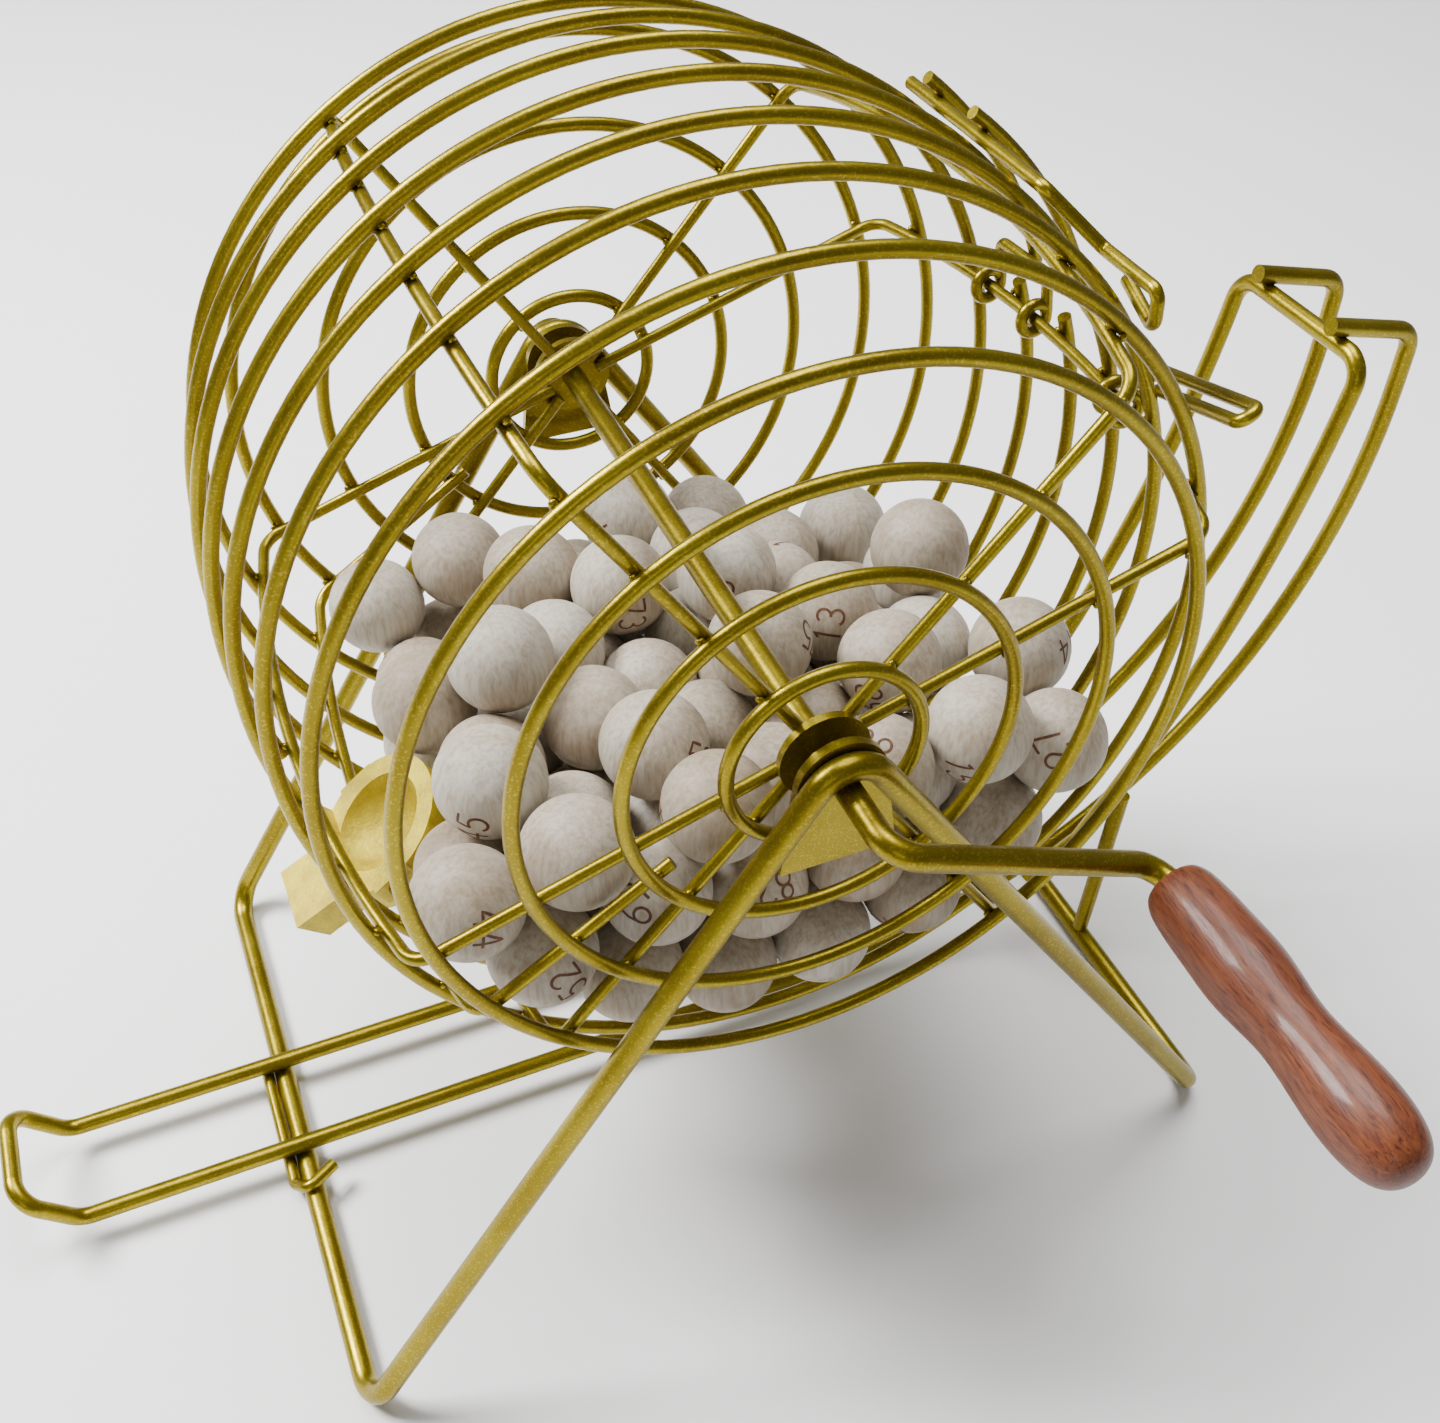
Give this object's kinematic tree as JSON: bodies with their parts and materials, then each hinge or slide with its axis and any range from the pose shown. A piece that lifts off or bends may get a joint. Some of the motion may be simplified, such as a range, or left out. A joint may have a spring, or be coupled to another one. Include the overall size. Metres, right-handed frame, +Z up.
{
  "type": "bingo cage",
  "caption": "Crank-turned wire bingo cage with numbered wooden balls, a hinged hatch, a cast ball dispenser and a wire track with an end stop.",
  "frame": {"origin": "on the table, straight below the middle of the axle, level with the underside of the base bars", "axes": "+X towards the high end of the track, -Y towards the crank, +Z up; the axle lies along Y"},
  "size_m": [0.3759, 0.2775, 0.2647],
  "materials": {
    "gold_wire": "satin metallic gold",
    "gold_casting": "satin yellow gold, cast texture",
    "ball_wood": "matt turned wood",
    "handle_wood": "varnished reddish brown"
  },
  "bodies": {
    "stand": {"bearing_plate_front": "gold_wire", "bearing_plate_rear": "gold_wire", "stand_front_frame": "gold_wire", "stand_rear_frame": "gold_wire", "track_guard": "gold_wire", "track_post": "gold_wire", "track_rail": "gold_wire", "track_saddle": "gold_wire"},
    "cage": {"axle_retainer": "gold_wire", "ball_dispenser": "gold_casting", "barrel_ring_1": "gold_wire", "barrel_ring_2": "gold_wire", "barrel_ring_3": "gold_wire", "barrel_ring_4": "gold_wire", "barrel_ring_5": "gold_wire", "barrel_ring_6": "gold_wire", "barrel_ring_7": "gold_wire", "crank_axle": "gold_wire", "front_ring_1": "gold_wire", "front_ring_2": "gold_wire", "front_ring_3": "gold_wire", "front_ring_4": "gold_wire", "gate_rib": "gold_wire", "hub_disc_front": "gold_wire", "hub_disc_rear": "gold_wire", "rear_ring_1": "gold_wire", "rear_ring_2": "gold_wire", "rear_ring_3": "gold_wire", "rear_ring_4": "gold_wire", "rib_bottom_right": "gold_wire", "rib_gate_lower": "gold_wire", "rib_gate_upper": "gold_wire", "rib_hatch_lower": "gold_wire", "rib_hatch_upper": "gold_wire", "rib_top_left": "gold_wire"},
    "crank_handle": {"crank_handle": "handle_wood"},
    "hatch_door": {"door_bar_front": "gold_wire", "door_bar_rear": "gold_wire", "door_frame_wire": "gold_wire", "door_hinge_wire": "gold_wire"},
    "door_latch": {"door_latch": "gold_wire"},
    "ball_load": {"balls_01_15": "ball_wood", "balls_16_30": "ball_wood", "balls_31_45": "ball_wood", "balls_46_60": "ball_wood", "balls_61_75": "ball_wood", "balls_76_90": "ball_wood"}
  },
  "joints": [
    {"name": "cage_spin", "type": "hinge", "parent": "stand", "child": "cage", "pos_m": [0, 0, 0.164], "axis": [0, 1, 0], "continuous": true},
    {"name": "handle_spin", "type": "hinge", "parent": "cage", "child": "crank_handle", "pos_m": [0.06193, -0.1115, 0.13591], "axis": [0, 1, 0], "continuous": true},
    {"name": "door_swing", "type": "hinge", "parent": "cage", "child": "hatch_door", "pos_m": [0.0913, 0.0095, 0.19367], "axis": [-0.0609, 0.998, -0.0198], "range_deg": [0, 100]},
    {"name": "latch_swing", "type": "hinge", "parent": "cage", "child": "door_latch", "pos_m": [0.0904, -0.0255, 0.19337], "axis": [0.0905, 0.9955, 0.0294], "range_deg": [0, 75]},
    {"name": "ball_load_swing", "type": "hinge", "parent": "stand", "child": "ball_load", "pos_m": [0, 0, 0.164], "axis": [0, 1, 0], "range_deg": [-20, 20]}
  ]
}
